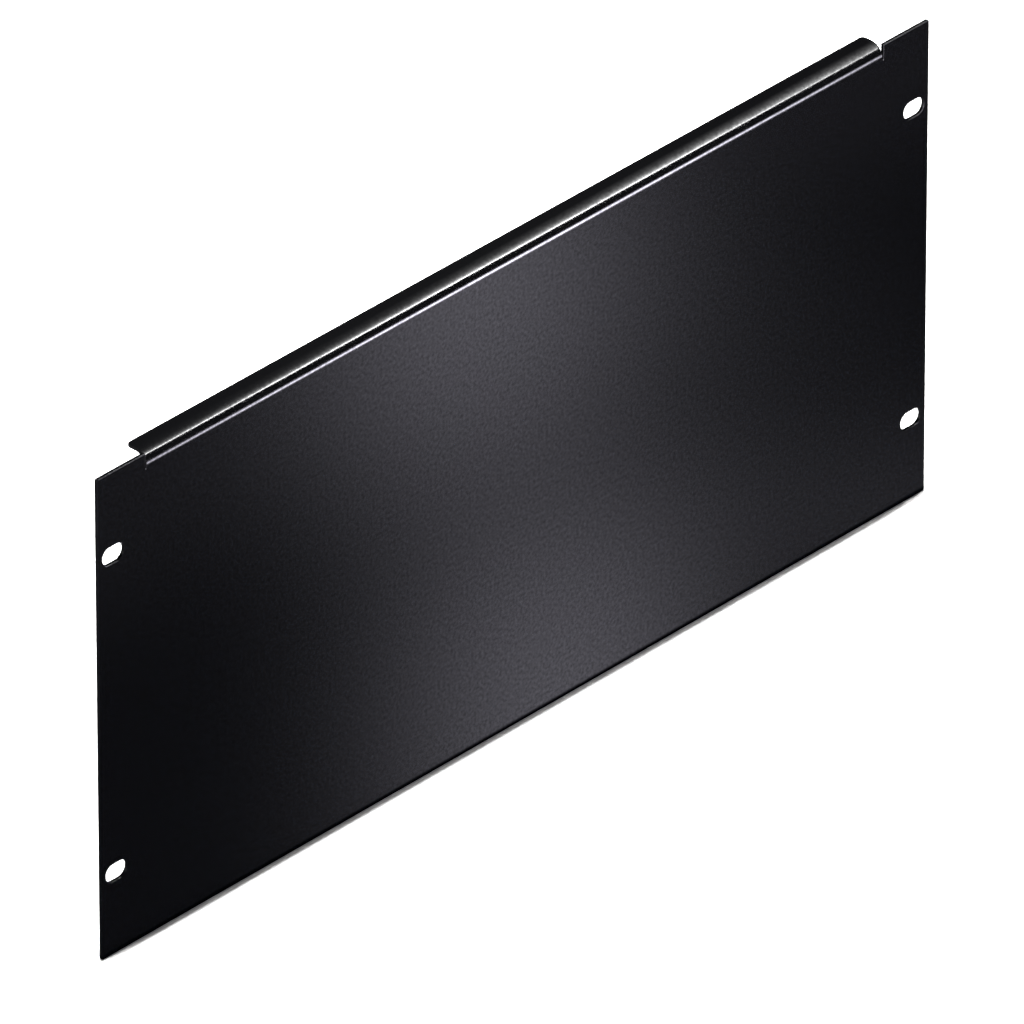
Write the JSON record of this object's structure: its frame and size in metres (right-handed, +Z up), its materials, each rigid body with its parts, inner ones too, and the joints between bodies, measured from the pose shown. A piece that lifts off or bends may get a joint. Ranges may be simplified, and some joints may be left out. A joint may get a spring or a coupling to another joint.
{
  "type": "rack blanking panel",
  "caption": "Flat black steel panel that closes unused space in a 19-inch rack, with a folded stiffening flange along its top edge and horizontal screw slots in its ears.",
  "frame": {"origin": "middle of the screw slot pattern, on the rear face that lies on the rack rails", "axes": "+Z up, +X along the panel's width, +Y to the rear; the front of the panel faces -Y and the flange points to +Y"},
  "size_m": [0.4826, 0.011, 0.2214],
  "materials": {
    "black_powder_coat": "fine satin black powder coat over steel sheet"
  },
  "bodies": {
    "root": {"blanking_panel": "black_powder_coat"}
  },
  "joints": []
}
